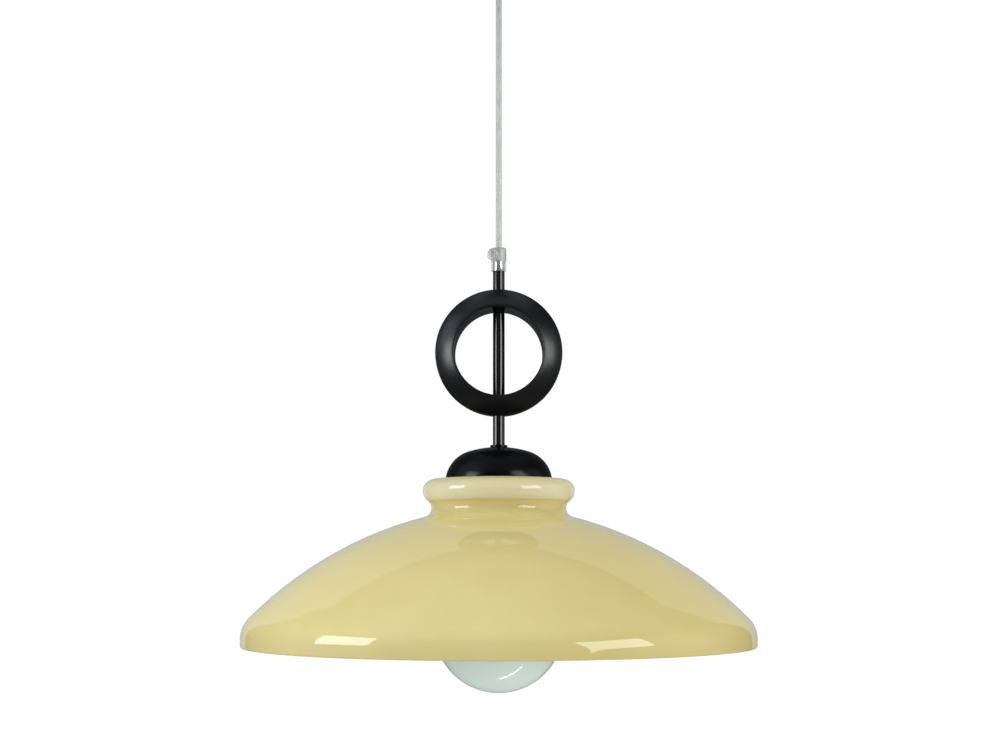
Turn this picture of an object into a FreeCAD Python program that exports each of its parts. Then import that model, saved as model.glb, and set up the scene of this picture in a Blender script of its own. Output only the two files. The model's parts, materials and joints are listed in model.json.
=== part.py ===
import FreeCAD, Part
import math
import os
import Sketcher

# Rise and fall pendant: an opal glass shade on a stem with a ring handle,
# hung on one cord from a spring reel in the ceiling canopy.
# Millimetres, +Z up. The origin is the centre of the canopy on the ceiling.
# Pieces of the lamp are drawn from the plane of the shade's rim, and the
# sheet's rim_drop sets how far below the ceiling that plane hangs.

os.makedirs("parts", exist_ok=True)
doc = FreeCAD.newDocument("rise_and_fall_pendant")
sheet = doc.addObject("Spreadsheet::Sheet", "Dims")


class Dim:
    """A size that knows its number and the sheet expression behind it."""

    def __init__(self, number, text):
        self.number = number
        self.text = text

    def __add__(self, other):
        other = dim(other)
        return Dim(self.number + other.number, "(" + self.text + " + " + other.text + ")")

    def __radd__(self, other):
        return dim(other) + self

    def __sub__(self, other):
        other = dim(other)
        return Dim(self.number - other.number, "(" + self.text + " - " + other.text + ")")

    def __rsub__(self, other):
        return dim(other) - self

    def __mul__(self, other):
        other = dim(other)
        return Dim(self.number * other.number, self.text + " * " + other.text)

    def __rmul__(self, other):
        return dim(other) * self

    def __truediv__(self, other):
        other = dim(other)
        return Dim(self.number / other.number, self.text + " / " + other.text)

    def __neg__(self):
        return Dim(-self.number, "(0 - " + self.text + ")")


def dim(value):
    if isinstance(value, Dim):
        return value
    if value < 0:
        return Dim(float(value), "(0 - " + repr(-float(value)) + ")")
    return Dim(float(value), repr(float(value)))


def root(value):
    return Dim(math.sqrt(value.number), "sqrt(" + value.text + ")")


def leg(long_side, short_side):
    """The third side of a right triangle."""
    return root(long_side * long_side - short_side * short_side)


def size(alias, number, note):
    """Puts one driving dimension in the sheet and gives it back."""
    size.row += 1
    sheet.set("A" + str(size.row), alias)
    sheet.set("B" + str(size.row), str(number))
    sheet.setAlias("B" + str(size.row), alias)
    sheet.set("C" + str(size.row), note)
    return Dim(float(number), "Dims." + alias)


size.row = 0


# ---------------------------------------------------------------- sizes

rim_drop = size("rim_drop", 700, "ceiling to the plane of the shade's rim")

rim_radius = size("rim_radius", 214.1, "shade, outside of the rim band")
glass = size("glass", 4.2, "shade, wall")
shoulder = size("shoulder", 22.5, "shade, bend from rim band to dome")
dome_arc = size("dome_arc", 313.5, "shade, radius of the dome's profile")
dome_past = size("dome_past", 16.5, "centre of that arc, beyond the axis")
dome_below = size("dome_below", 195.75, "centre of that arc, below the rim")
neck_radius = size("neck_radius", 56.9, "shade, narrowest outside")
neck_bend = size("neck_bend", 7.5, "shade, hollow of the neck")
lip_radius = size("lip_radius", 64.2, "shade, widest outside of the lip")
lip_side = size("lip_side", 129.5, "lip, height of its widest line")
lip_bead = size("lip_bead", 9.6, "lip, round over the top")
lip_inner = size("lip_inner", 5, "lip, round down to the seat")
seat_top = size("seat_top", 133.6, "seat of the neck, upper face")
seat_under = size("seat_under", 129.4, "seat of the neck, lower face")
seat_hole = size("seat_hole", 22, "seat, radius of its hole")

cap_radius = size("cap_radius", 45.25, "dome cap, outside")
cap_top = size("cap_top", 166.6, "dome cap, height of the crown")
cap_crown = size("cap_crown", 88, "dome cap, radius of the crown")
cap_corner = size("cap_corner", 27.5, "dome cap, radius of the shoulder")
cap_wall = size("cap_wall", 1.5, "dome cap, sheet")
gasket = size("gasket", 1.5, "rubber rings above and below the seat")

stem_radius = size("stem_radius", 5, "stem, outside")
stem_bore = size("stem_bore", 3.6, "stem, inside")
stem_top = size("stem_top", 326, "stem, upper end")
stem_foot = size("stem_foot", 112, "stem, lower end")
fit = size("fit", 0.05, "gap of a running fit")
collar_radius = size("collar_radius", 7.3, "collar on the cap")
collar_top = size("collar_top", 168.3, "collar, upper face")

ring_height = size("ring_height", 246.9, "ring handle, centre")
ring_outer = size("ring_outer", 54.1, "ring handle, outside")
ring_inner = size("ring_inner", 37.5, "ring handle, hole")
ring_deep = size("ring_deep", 17.7, "half its depth at the hole")
ring_thin = size("ring_thin", 6, "half its depth at the outside")
ring_face = size("ring_face", 38, "radius of its domed faces")

grip_radius = size("grip_radius", 6.4, "cord grip, outside")
grip_foot = size("grip_foot", 317.7, "cord grip, lower end")
grip_top = size("grip_top", 337.5, "cord grip, upper end")
screw_height = size("screw_height", 331.3, "cord grip, side screw")
screw_head = size("screw_head", 5.2, "side screw, radius of the head")
screw_shank = size("screw_shank", 3, "side screw, radius of the shank")
screw_reach = size("screw_reach", 9, "axis to the face of its head")
cord_radius = size("cord_radius", 2.5, "cord")

bulb_radius = size("bulb_radius", 55, "globe bulb")
bulb_centre = size("bulb_centre", 15.8, "globe, centre above the rim")
bulb_neck = size("bulb_neck", 13.6, "globe, neck at the cap")
bulb_bend = size("bulb_bend", 5, "globe, bend from neck to ball")
bulb_wall = size("bulb_wall", 1, "globe, glass")

canopy_radius = size("canopy_radius", 75, "canopy, at the ceiling")
canopy_waist = size("canopy_waist", 73, "canopy, where its corner starts")
canopy_corner = size("canopy_corner", 25, "canopy, radius of its corner")
canopy_depth = size("canopy_depth", 100, "canopy, ceiling to underside")
canopy_wall = size("canopy_wall", 1.5, "canopy, sheet")
canopy_hole = size("canopy_hole", 7, "canopy, radius of the cord outlet's hole")
canopy_screw = size("canopy_screw", 10, "side screws, below the ceiling")
strap = size("strap", 2, "steel of bracket and reel frame")
strap_half = size("strap_half", 71.4, "bracket, half its length")
strap_wide = size("strap_wide", 28, "bracket, width")
slot_at = size("slot_at", 40, "ceiling slots, from the centre")

wind_radius = size("wind_radius", 27.5, "reel axis to the middle of the cord")
reel_depth = size("reel_depth", 50, "ceiling to the reel axis")
pin_radius = size("pin_radius", 3, "reel axle")
flange_radius = size("flange_radius", 33, "reel flanges")
case_radius = size("case_radius", 30, "spring case")
cord_exit = size("cord_exit", 104, "ceiling to the throat of the cord outlet")


# ------------------------------------------------------------- drawing

def new_body(name):
    body = doc.addObject("PartDesign::Body", name)
    body.Label = name
    return body


def face_sketch(body, name, role):
    """A sketch on one of the body's own origin planes."""
    sketch = body.newObject("Sketcher::SketchObject", name)
    plane = [f for f in body.Origin.OriginFeatures if f.Role == role][0]
    sketch.AttachmentSupport = (plane, "")
    sketch.MapMode = "FlatFace"
    return sketch


def tie(sketch, kind, first, second, value):
    """Ties a distance or radius to the sheet."""
    number = value.number
    text = value.text
    if kind == "Radius":
        index = sketch.addConstraint(Sketcher.Constraint(kind, first, number))
    elif number < 0:
        index = sketch.addConstraint(Sketcher.Constraint(kind, *first, *second, -number))
        text = "0 - " + text
    else:
        index = sketch.addConstraint(Sketcher.Constraint(kind, *second, *first, number))
    sketch.setExpression("Constraints[" + str(index) + "]", text)


def hold(sketch, geometry, point, x, y):
    """Fixes one point of the sketch by its two coordinates."""
    if abs(x.number) < 1e-9:
        sketch.addConstraint(Sketcher.Constraint("PointOnObject", geometry, point, -2))
    else:
        tie(sketch, "DistanceX", (geometry, point), (-1, 1), x)
    if abs(y.number) < 1e-9:
        sketch.addConstraint(Sketcher.Constraint("PointOnObject", geometry, point, -1))
    else:
        tie(sketch, "DistanceY", (geometry, point), (-1, 1), y)


def arc_edge(start, end, radius, turn):
    """The short arc between two points; turn is 1 anticlockwise, -1 clockwise."""
    chord = end - start
    side = FreeCAD.Vector(-chord.y, chord.x, 0).normalize()
    rise = math.sqrt(max(radius ** 2 - (chord.Length / 2) ** 2, 0))
    centre = (start + end) * 0.5 + side * rise * turn
    first = start if turn > 0 else end
    last = end if turn > 0 else start
    a = math.atan2(first.y - centre.y, first.x - centre.x)
    b = math.atan2(last.y - centre.y, last.x - centre.x)
    if b < a:
        b += 2 * math.pi
    circle = Part.Circle(centre, FreeCAD.Vector(0, 0, 1), radius)
    return Part.ArcOfCircle(circle, a, b)


def outline(sketch, corners):
    """Draws a closed outline. A corner is (x, y), reached by a straight edge,
    or (x, y, radius, turn), reached by an arc."""
    corners = [tuple(dim(v) for v in c[:3]) + tuple(c[3:]) for c in corners]
    base = sketch.GeometryCount
    ends = []
    for i, corner in enumerate(corners):
        before = corners[i - 1]
        start = FreeCAD.Vector(before[0].number, before[1].number, 0)
        end = FreeCAD.Vector(corner[0].number, corner[1].number, 0)
        if len(corner) == 2:
            sketch.addGeometry(Part.LineSegment(start, end))
            ends.append((1, 2))
        else:
            sketch.addGeometry(arc_edge(start, end, corner[2].number, corner[3]))
            ends.append((1, 2) if corner[3] > 0 else (2, 1))
    for i, corner in enumerate(corners):
        after = (i + 1) % len(corners)
        meet = (base + i, ends[i][1], base + after, ends[after][0])
        sketch.addConstraint(Sketcher.Constraint("Coincident", *meet))
        hold(sketch, base + i, ends[i][1], corner[0], corner[1])
        if len(corner) > 2:
            tie(sketch, "Radius", base + i, None, corner[2])


def circle(sketch, x, y, radius):
    centre = FreeCAD.Vector(dim(x).number, dim(y).number, 0)
    ring = Part.Circle(centre, FreeCAD.Vector(0, 0, 1), dim(radius).number)
    index = sketch.addGeometry(ring)
    hold(sketch, index, 3, dim(x), dim(y))
    tie(sketch, "Radius", index, None, dim(radius))


def turned(name, corners, role="XZ_Plane"):
    """A piece turned about the sketch's vertical axis."""
    body = new_body(name)
    sketch = face_sketch(body, name + "_profile", role)
    outline(sketch, corners)
    turn = body.newObject("PartDesign::Revolution", name + "_turn")
    turn.Profile = sketch
    turn.ReferenceAxis = (sketch, ["V_Axis"])
    turn.Angle = 360
    return body


def padded(body, name, role, corners, length, middle=False):
    sketch = face_sketch(body, name + "_outline", role)
    outline(sketch, corners)
    pad = body.newObject("PartDesign::Pad", name)
    pad.Profile = sketch
    pad.Midplane = middle
    pad.setExpression("Length", dim(length).text)
    return pad


def pocket(body, name, sketch, middle=True, backward=False):
    """Cuts a sketch through all; the volume must fall."""
    doc.recompute()
    before = body.Shape.Volume
    cut = body.newObject("PartDesign::Pocket", name)
    cut.Profile = sketch
    cut.Type = "ThroughAll"
    cut.Midplane = middle
    cut.Reversed = backward
    doc.recompute()
    if not body.Shape.Volume < before - 1e-6:
        raise RuntimeError(name + " cuts nothing")
    return cut


def at(piece, x=0, y=0, z=0):
    """Places a piece and ties its place to the sheet."""
    spot = FreeCAD.Vector(dim(x).number, dim(y).number, dim(z).number)
    piece.Placement = FreeCAD.Placement(spot, piece.Placement.Rotation)
    piece.setExpression("Placement.Base.x", dim(x).text)
    piece.setExpression("Placement.Base.y", dim(y).text)
    piece.setExpression("Placement.Base.z", dim(z).text)
    return piece


def in_lamp(piece):
    return at(piece, 0, 0, -rim_drop)


def washer(name, inner, outer, low, high, role="XZ_Plane"):
    return turned(name, [(inner, low), (outer, low), (outer, high), (inner, high)], role)


# ---------------------------------------------------------- glass shade

def make_shade():
    # The dome is one arc. The rim band's bend touches it from inside and the
    # hollow of the neck from outside, so every joint of the profile is smooth.
    bend_x = rim_radius - shoulder
    bend_z = leg(dome_arc - shoulder, bend_x + dome_past) - dome_below
    neck_x = neck_radius + neck_bend
    neck_z = leg(dome_arc + neck_bend, neck_x + dome_past) - dome_below
    # Below its widest line the lip is one round that touches the hollow.
    across = neck_x - lip_radius
    up = lip_side - neck_z
    lip_under = (up * up + across * across - neck_bend * neck_bend) / ((neck_bend - across) * 2)

    def on_dome(x, z, arc, reach):
        share = arc / reach
        return (x + dome_past) * share - dome_past, (z + dome_below) * share - dome_below

    outer_bend = on_dome(bend_x, bend_z, dome_arc, dome_arc - shoulder)
    outer_neck = on_dome(neck_x, neck_z, dome_arc, dome_arc + neck_bend)
    inner_bend = on_dome(bend_x, bend_z, dome_arc - glass, dome_arc - shoulder)
    inner_neck = on_dome(neck_x, neck_z, dome_arc - glass, dome_arc + neck_bend)
    part = neck_bend / (neck_bend + lip_under)
    lip_low = (neck_x - (across + lip_under) * part, neck_z + up * part)
    crest_x = lip_radius - lip_bead
    crest_z = lip_side + lip_bead
    wall_x = neck_radius - glass
    body = turned("glass_shade", [
        (rim_radius, 1.5, 1.5, 1),
        (rim_radius, bend_z),
        (*outer_bend, shoulder, 1),
        (*outer_neck, dome_arc, 1),
        (*lip_low, neck_bend, -1),
        (lip_radius, lip_side, lip_under, 1),
        (crest_x, crest_z, lip_bead, 1),
        (crest_x - lip_inner, crest_z - lip_inner, lip_inner, 1),
        (crest_x - lip_inner, seat_top),
        (seat_hole, seat_top),
        (seat_hole, seat_under),
        (wall_x - 3, seat_under),
        (wall_x, seat_under - 3),
        (wall_x, neck_z),
        (*inner_neck, neck_bend + glass, 1),
        (*inner_bend, dome_arc - glass, -1),
        (rim_radius - glass, bend_z, shoulder - glass, -1),
        (rim_radius - glass, 1.5),
        (rim_radius - glass + 1.5, 0),
        (rim_radius - 1.5, 0),
    ])
    return in_lamp(body)


# ------------------------------------------------- cap and shade fixing

def make_cap():
    low = seat_top + gasket
    centre = cap_top - cap_crown
    corner_x = cap_radius - cap_corner
    reach = cap_crown - cap_corner
    corner_z = centre + leg(reach, corner_x)
    inner_crown = cap_crown - cap_wall
    rise = leg(reach, corner_x) / reach
    share = corner_x / reach
    flat = centre + leg(cap_crown, dim(8))
    flat_under = centre + leg(inner_crown, dim(8))
    body = turned("cap_dome", [
        (cap_radius, low),
        (cap_radius, corner_z),
        (share * cap_crown, centre + rise * cap_crown, cap_corner, 1),
        (8, flat, cap_crown, 1),
        (stem_radius + fit, flat),
        (stem_radius + fit, flat_under),
        (8, flat_under),
        (share * inner_crown, centre + rise * inner_crown, inner_crown, -1),
        (cap_radius - cap_wall, corner_z, cap_corner - cap_wall, -1),
        (cap_radius - cap_wall, low),
    ])
    in_lamp(body)
    # The collar sits on the flat of the crown, with both edges broken.
    bevel = dim(0.4)
    collar = turned("stem_collar", [
        (stem_radius + fit, flat),
        (collar_radius - bevel, flat),
        (collar_radius, flat + bevel),
        (collar_radius, collar_top - bevel),
        (collar_radius - bevel, collar_top),
        (stem_radius + fit, collar_top),
    ])
    in_lamp(collar)


def make_clamping():
    in_lamp(washer("upper_gasket", dim(35), cap_radius - 0.1, seat_top, seat_top + gasket))
    low = seat_under - gasket
    in_lamp(washer("lower_gasket", dim(27), dim(43), low, seat_under))
    # The disc below the seat has a turned-down edge that stiffens it.
    disc = turned("clamp_disc", [
        (stem_radius + fit, low - 2),
        (40, low - 2),
        (41.5, low - 3.5),
        (41.5, low - 6),
        (43.5, low - 6),
        (43.5, low - 3.5),
        (40, low),
        (stem_radius + fit, low),
    ])
    in_lamp(disc)
    # Hexagon nut, 14 mm across its flats.
    nut = new_body("lock_nut")
    corners = []
    for i in range(6):
        angle = math.radians(60 * i)
        reach = 7 / math.cos(math.radians(30))
        corners.append((reach * math.cos(angle), reach * math.sin(angle)))
    sketch = face_sketch(nut, "lock_nut_outline", "XY_Plane")
    outline(sketch, corners)
    circle(sketch, 0, 0, stem_radius + fit)
    pad = nut.newObject("PartDesign::Pad", "lock_nut_pad")
    pad.Profile = sketch
    pad.Length = 4
    at(nut, 0, 0, low - 6 - rim_drop)


# ------------------------------------------------------------------ stem

def make_stem():
    bevel = dim(0.4)
    body = turned("stem_tube", [
        (stem_bore, stem_foot),
        (stem_radius - bevel, stem_foot),
        (stem_radius, stem_foot + bevel),
        (stem_radius, stem_top - bevel),
        (stem_radius - bevel, stem_top),
        (stem_bore, stem_top),
    ])
    in_lamp(body)


def make_ring():
    # Turned about Y: domed faces, deepest at the hole, with broken edges.
    ease = dim(0.7)
    body = turned("ring_handle", [
        (ring_inner, -(ring_deep - ease)),
        (ring_inner + ease, -ring_deep),
        (ring_outer - ease, -ring_thin, ring_face, 1),
        (ring_outer, -(ring_thin - ease)),
        (ring_outer, ring_thin - ease),
        (ring_outer - ease, ring_thin),
        (ring_inner + ease, ring_deep, ring_face, 1),
        (ring_inner, ring_deep - ease),
    ], "XY_Plane")
    sketch = face_sketch(body, "stem_hole_outline", "XY_Plane")
    circle(sketch, 0, 0, stem_radius + fit)
    pocket(body, "stem_hole", sketch)
    at(body, 0, 0, ring_height - rim_drop)


# ------------------------------------------------------------- cord grip

def make_grip():
    body = turned("cord_grip", [
        (stem_radius + fit, grip_foot),
        (grip_radius, grip_foot),
        (grip_radius, grip_top - 1),
        (grip_radius - 1, grip_top),
        (cord_radius + 0.1, grip_top),
        (cord_radius + 0.1, stem_top),
        (stem_radius + fit, stem_top),
    ])
    sketch = face_sketch(body, "side_hole_outline", "XZ_Plane")
    circle(sketch, 0, screw_height, screw_shank + fit)
    pocket(body, "side_hole", sketch, middle=False, backward=True)
    head_back = screw_reach - 2.9
    flat = face_sketch(body, "screw_seat_outline", "XZ_Plane")
    flat.AttachmentOffset = FreeCAD.Placement(FreeCAD.Vector(0, 0, head_back.number), FreeCAD.Rotation())
    flat.setExpression("AttachmentOffset.Base.z", head_back.text)
    circle(flat, 0, screw_height, screw_head + 0.3)
    pocket(body, "screw_seat", flat, middle=False, backward=True)
    body.Placement.Rotation = FreeCAD.Rotation(FreeCAD.Vector(0, 0, 1), -45)
    in_lamp(body)
    # Clear side screw, turned about Y, its head to the front left.
    tip = cord_radius + 0.1
    screw = turned("grip_screw", [
        (0, -screw_reach),
        (screw_head - 0.6, -screw_reach),
        (screw_head, -(screw_reach - 0.6)),
        (screw_head, -head_back),
        (screw_shank, -head_back),
        (screw_shank, -tip),
        (0, -tip),
    ], "XY_Plane")
    slot = face_sketch(screw, "slot_outline", "YZ_Plane")
    out = -(screw_reach + 1)
    outline(slot, [(out, -0.6), (-(screw_reach - 1.2), -0.6), (-(screw_reach - 1.2), 0.6), (out, 0.6)])
    pocket(screw, "slot", slot)
    screw.Placement.Rotation = FreeCAD.Rotation(FreeCAD.Vector(0, 0, 1), -45)
    at(screw, 0, 0, screw_height - rim_drop)


def make_cords():
    # Inside the stem the cord runs straight down to the lampholder.
    inner = doc.addObject("Part::Cylinder", "cord_inner")
    inner.Label = "cord_inner"
    inner.setExpression("Radius", cord_radius.text)
    inner.setExpression("Height", (grip_top - stem_foot + 4).text)
    at(inner, 0, 0, stem_foot - 4 - rim_drop)
    # The drop hangs tight and straight from the canopy to the grip.
    drop = doc.addObject("Part::Cylinder", "cord_drop")
    drop.Label = "cord_drop"
    drop.setExpression("Radius", cord_radius.text)
    drop.setExpression("Height", (rim_drop - grip_top - cord_exit).text)
    at(drop, 0, 0, grip_top - rim_drop)
    # In the canopy it leaves the reel as a tangent and goes straight down.
    feed = doc.addObject("Part::Cylinder", "cord_feed")
    feed.Label = "cord_feed"
    feed.setExpression("Radius", cord_radius.text)
    feed.setExpression("Height", (cord_exit - reel_depth).text)
    at(feed, 0, 0, -cord_exit)


# ------------------------------------------------- lampholder and bulb

def make_holder():
    flutes = 24
    cap = turned("holder_cap", [
        (20.5, 98),
        (20.5, 104),
        (9, 117, 17, 1),
        (9, 121.5),
        (stem_radius + fit, 121.5),
        (stem_radius + fit, 112),
        (9, 114.5),
        (15.5, 110),
        (18.5, 103),
        (18.5, 98),
    ])
    in_lamp(cap)
    shell = turned("holder_shell", [
        (15.2, 70),
        (18.5, 70),
        (19.5, 71),
        (19.5, 82),
        (20.5, 84),
        (20.5, 98),
        (17.5, 98),
        (17.5, 72),
        (15.2, 72),
    ])
    # Grip flutes round the lower end, cut from the edge up to the step.
    sketch = face_sketch(shell, "flute_outline", "XY_Plane")
    sketch.AttachmentOffset = FreeCAD.Placement(FreeCAD.Vector(0, 0, 81), FreeCAD.Rotation())
    circle(sketch, 20.4, 0, 1.5)
    flute = pocket(shell, "flute", sketch, middle=False)
    around = shell.newObject("PartDesign::PolarPattern", "flutes")
    around.Originals = [flute]
    around.Axis = (sketch, ["N_Axis"])
    around.Angle = 360
    around.Occurrences = flutes
    shell.Tip = around
    in_lamp(shell)
    insert = turned("holder_insert", [
        (14.4, 72),
        (17.4, 72),
        (17.4, 103),
        (4, 103),
        (4, 100),
        (14.4, 100),
    ])
    in_lamp(insert)
    in_lamp(washer("screw_shell", dim(13.8), dim(14.4), dim(74), dim(99)))
    contact = new_body("centre_contact")
    padded(contact, "contact_strip", "XY_Plane", [(-8, -2.5), (8, -2.5), (8, 2.5), (-8, 2.5)], 0.6)
    at(contact, 0, 0, dim(99.4) - rim_drop)


def make_bulb():
    neck_x = bulb_neck + bulb_bend
    reach = bulb_radius + bulb_bend
    neck_z = bulb_centre + leg(reach, neck_x)
    rise = leg(reach, neck_x)
    inner = bulb_radius - bulb_wall
    foot = bulb_centre - bulb_radius
    side_x = bulb_radius
    globe = turned("bulb_globe", [
        (0, foot),
        (side_x, bulb_centre, bulb_radius, 1),
        (neck_x * bulb_radius / reach, bulb_centre + rise * bulb_radius / reach, bulb_radius, 1),
        (bulb_neck, neck_z, bulb_bend, -1),
        (bulb_neck, 73.2),
        (12.1, 73.2),
        (12.1, 80),
        (11.1, 80),
        (11.1, neck_z),
        (bulb_neck - bulb_wall, neck_z),
        (neck_x * inner / reach, bulb_centre + rise * inner / reach, bulb_bend + bulb_wall, 1),
        (inner, bulb_centre, inner, -1),
        (0, foot + bulb_wall, inner, -1),
    ])
    in_lamp(globe)
    # Screw cap with its rolled thread as four ridges.
    corners = [(12.2, 73.2), (12.8, 73.2), (12.8, 75)]
    for i in range(4):
        low = 75 + 4.5 * i
        corners.append((13.3, low + 1.5))
        corners.append((12.8, low + 3))
        corners.append((12.8, low + 4.5))
    corners += [(12.8, 94), (7, 97.5), (5, 97.5), (5, 98.9), (0, 98.9), (0, 96.5), (6.5, 96.5), (12.2, 93.2)]
    cap = turned("bulb_cap", corners)
    in_lamp(cap)


# --------------------------------------------------------------- canopy

def make_canopy():
    low = -canopy_depth
    bend = -(canopy_depth - canopy_corner)
    inner = canopy_corner - canopy_wall
    body = turned("canopy_shell", [
        (canopy_hole, low),
        (canopy_waist - canopy_corner, low),
        (canopy_waist, bend, canopy_corner, 1),
        (canopy_radius, 0),
        (canopy_radius - canopy_wall, 0),
        (canopy_waist - canopy_wall, bend),
        (canopy_waist - canopy_corner, low + canopy_wall, inner, -1),
        (canopy_hole, low + canopy_wall),
    ])
    sketch = face_sketch(body, "screw_holes_outline", "YZ_Plane")
    circle(sketch, 0, -canopy_screw, 2.2)
    pocket(body, "screw_holes", sketch)
    at(body)
    # Trumpet bush: clipped in the canopy's hole, its flared mouth below.
    bush = turned("outlet_bush", [
        (cord_radius + 0.7, -cord_exit),
        (6, -(cord_exit + 5), 8, 1),
        (8, -(cord_exit + 5)),
        (11, -(canopy_depth + 3), 6, 1),
        (11, -canopy_depth),
        (canopy_hole, -canopy_depth),
        (canopy_hole, -(canopy_depth - canopy_wall)),
        (canopy_hole + 0.8, -(canopy_depth - canopy_wall)),
        (canopy_hole - 1, -(canopy_depth - 6)),
        (cord_radius + 0.05, -(canopy_depth - 6)),
        (cord_radius + 0.05, -cord_exit),
    ])
    at(bush)
    # Domed side screw, made once and mirrored to the other side.
    screw = doc.addObject("Part::Cylinder", "side_screw_shank")
    screw.Radius = 2
    screw.Height = 7.5
    head = doc.addObject("Part::Cone", "side_screw_head")
    head.Radius1 = 4
    head.Radius2 = 2.6
    head.Height = 2
    turn = FreeCAD.Rotation(FreeCAD.Vector(0, 1, 0), 90)
    edge = canopy_radius + 0.1
    screw.Placement.Rotation = turn
    head.Placement.Rotation = turn
    at(screw, edge - 7.5, 0, -canopy_screw)
    at(head, edge, 0, -canopy_screw)
    one = doc.addObject("Part::Fuse", "side_screw")
    one.Base = screw
    one.Tool = head
    two = doc.addObject("Part::Mirroring", "side_screw_mirror")
    two.Source = one
    two.Base = FreeCAD.Vector(0, 0, 0)
    two.Normal = FreeCAD.Vector(1, 0, 0)
    both = doc.addObject("Part::Compound", "canopy_screws")
    both.Label = "canopy_screws"
    both.Links = [one, two]


def make_bracket():
    # Bent strap: flat on the ceiling, with a tab turned down at each end.
    body = new_body("ceiling_bracket")
    half = strap_half
    deep = dim(18)
    bend = dim(3)
    inside = bend - strap
    padded(body, "strap_pad", "XZ_Plane", [
        (-(half - bend), 0),
        (-half, -bend, bend, 1),
        (-half, -deep),
        (-(half - strap), -deep),
        (-(half - strap), -bend),
        (-(half - bend), -strap, inside, -1),
        (half - bend, -strap),
        (half - strap, -bend, inside, -1),
        (half - strap, -deep),
        (half, -deep),
        (half, -bend),
        (half - bend, 0, bend, 1),
    ], strap_wide, True)
    slots = face_sketch(body, "slots_outline", "XY_Plane")
    for side in (-1, 1):
        middle = slot_at * side
        outline(slots, [
            (middle + 3.5, -2.5),
            (middle + 6, 0, 2.5, 1),
            (middle + 3.5, 2.5, 2.5, 1),
            (middle - 3.5, 2.5),
            (middle - 6, 0, 2.5, 1),
            (middle - 3.5, -2.5, 2.5, 1),
        ])
    circle(slots, 0, 0, 10)
    pocket(body, "slots", slots)
    taps = face_sketch(body, "taps_outline", "YZ_Plane")
    circle(taps, 0, -canopy_screw, 2)
    pocket(body, "taps", taps)
    at(body)


def make_terminals():
    # Three-pole block with a screw well over each pole.
    body = new_body("terminal_block")
    padded(body, "terminal_pad", "XY_Plane", [(-6, -15), (6, -15), (6, 15), (-6, 15)], 13)
    wells = face_sketch(body, "wells_outline", "XY_Plane")
    wires = face_sketch(body, "wires_outline", "YZ_Plane")
    for i in (-1, 0, 1):
        circle(wells, 0, 10 * i, 2.2)
        circle(wires, 10 * i, 5, 2)
    pocket(body, "wells", wells)
    pocket(body, "wires", wires)
    at(body, 26, 0, -strap - 13)


# ----------------------------------------------------------------- reel

def on_reel(piece):
    return at(piece, -wind_radius, 0, -reel_depth)


def make_reel_frame():
    # U-shaped sheet frame with a rounded leg at each end of the axle.
    body = new_body("reel_frame")
    back = dim(35)
    front = dim(-49)
    top = reel_depth - strap
    padded(body, "frame_pad", "YZ_Plane", [
        (front, -14),
        (front + strap, -14),
        (front + strap, top - strap),
        (back - strap, top - strap),
        (back - strap, -14),
        (back, -14),
        (back, top),
        (front, top),
    ], 28, True)
    doc.recompute()
    corners = []
    for i, edge in enumerate(body.Shape.Edges):
        middle = edge.CenterOfMass
        across = edge.Vertexes[0].Point - edge.Vertexes[-1].Point
        if abs(middle.z + 14) < 0.01 and abs(across.y) > 1 and abs(across.x) < 0.01:
            corners.append("Edge" + str(i + 1))
    legs = body.newObject("PartDesign::Fillet", "leg_ends")
    legs.Base = (body.Tip if body.Tip != legs else body.Group[-2], corners)
    legs.Radius = 10
    holes = face_sketch(body, "axle_holes_outline", "XZ_Plane")
    circle(holes, 0, 0, pin_radius)
    pocket(body, "axle_holes", holes)
    on_reel(body)


def make_axle():
    axle = turned("reel_axle", [
        (0, -51.5),
        (pin_radius - 0.4, -51.5),
        (pin_radius, -51.1),
        (pin_radius, -50.2),
        (pin_radius - 0.6, -50.2),
        (pin_radius - 0.6, -49.1),
        (pin_radius, -49.1),
        (pin_radius, 35),
        (pin_radius + 2, 35),
        (pin_radius + 2, 37),
        (0, 37),
    ], "XY_Plane")
    on_reel(axle)
    # Retaining clip: an open ring in the axle's groove.
    clip = new_body("axle_clip")
    sketch = face_sketch(clip, "clip_outline", "XZ_Plane")
    inner = 2.4
    outer = 5.4
    corner = 1.5
    low_in = -math.sqrt(inner ** 2 - corner ** 2)
    low_out = -math.sqrt(outer ** 2 - corner ** 2)
    outline(sketch, [
        (corner, low_in, inner, -1),
        (corner, low_out),
        (outer, 0, outer, 1),
        (0, outer, outer, 1),
        (-outer, 0, outer, 1),
        (-corner, low_out, outer, 1),
        (-corner, low_in),
        (-inner, 0, inner, -1),
        (0, inner, inner, -1),
        (inner, 0, inner, -1),
    ])
    pad = clip.newObject("PartDesign::Pad", "clip_pad")
    pad.Profile = sketch
    pad.Length = 1
    at(clip, -wind_radius, -49.15, -reel_depth)


def make_drum():
    core = wind_radius - cord_radius
    drum = turned("reel_drum", [
        (pin_radius + fit, -42),
        (8, -42),
        (8, 8),
        (core - 2.5, 8),
        (core - 2.5, -36),
        (flange_radius, -36),
        (flange_radius, -34),
        (core, -34),
        (core, 8),
        (flange_radius, 8),
        (flange_radius, 10),
        (pin_radius + fit, 10),
    ], "XY_Plane")
    on_reel(drum)
    # Six turns lie side by side on the drum; the seventh place stays free.
    winding = turned("cord_winding", [
        (core, -34),
        (wind_radius + cord_radius, -34),
        (wind_radius + cord_radius, -2.8),
        (core, -2.8),
    ], "XY_Plane")
    on_reel(winding)


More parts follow.
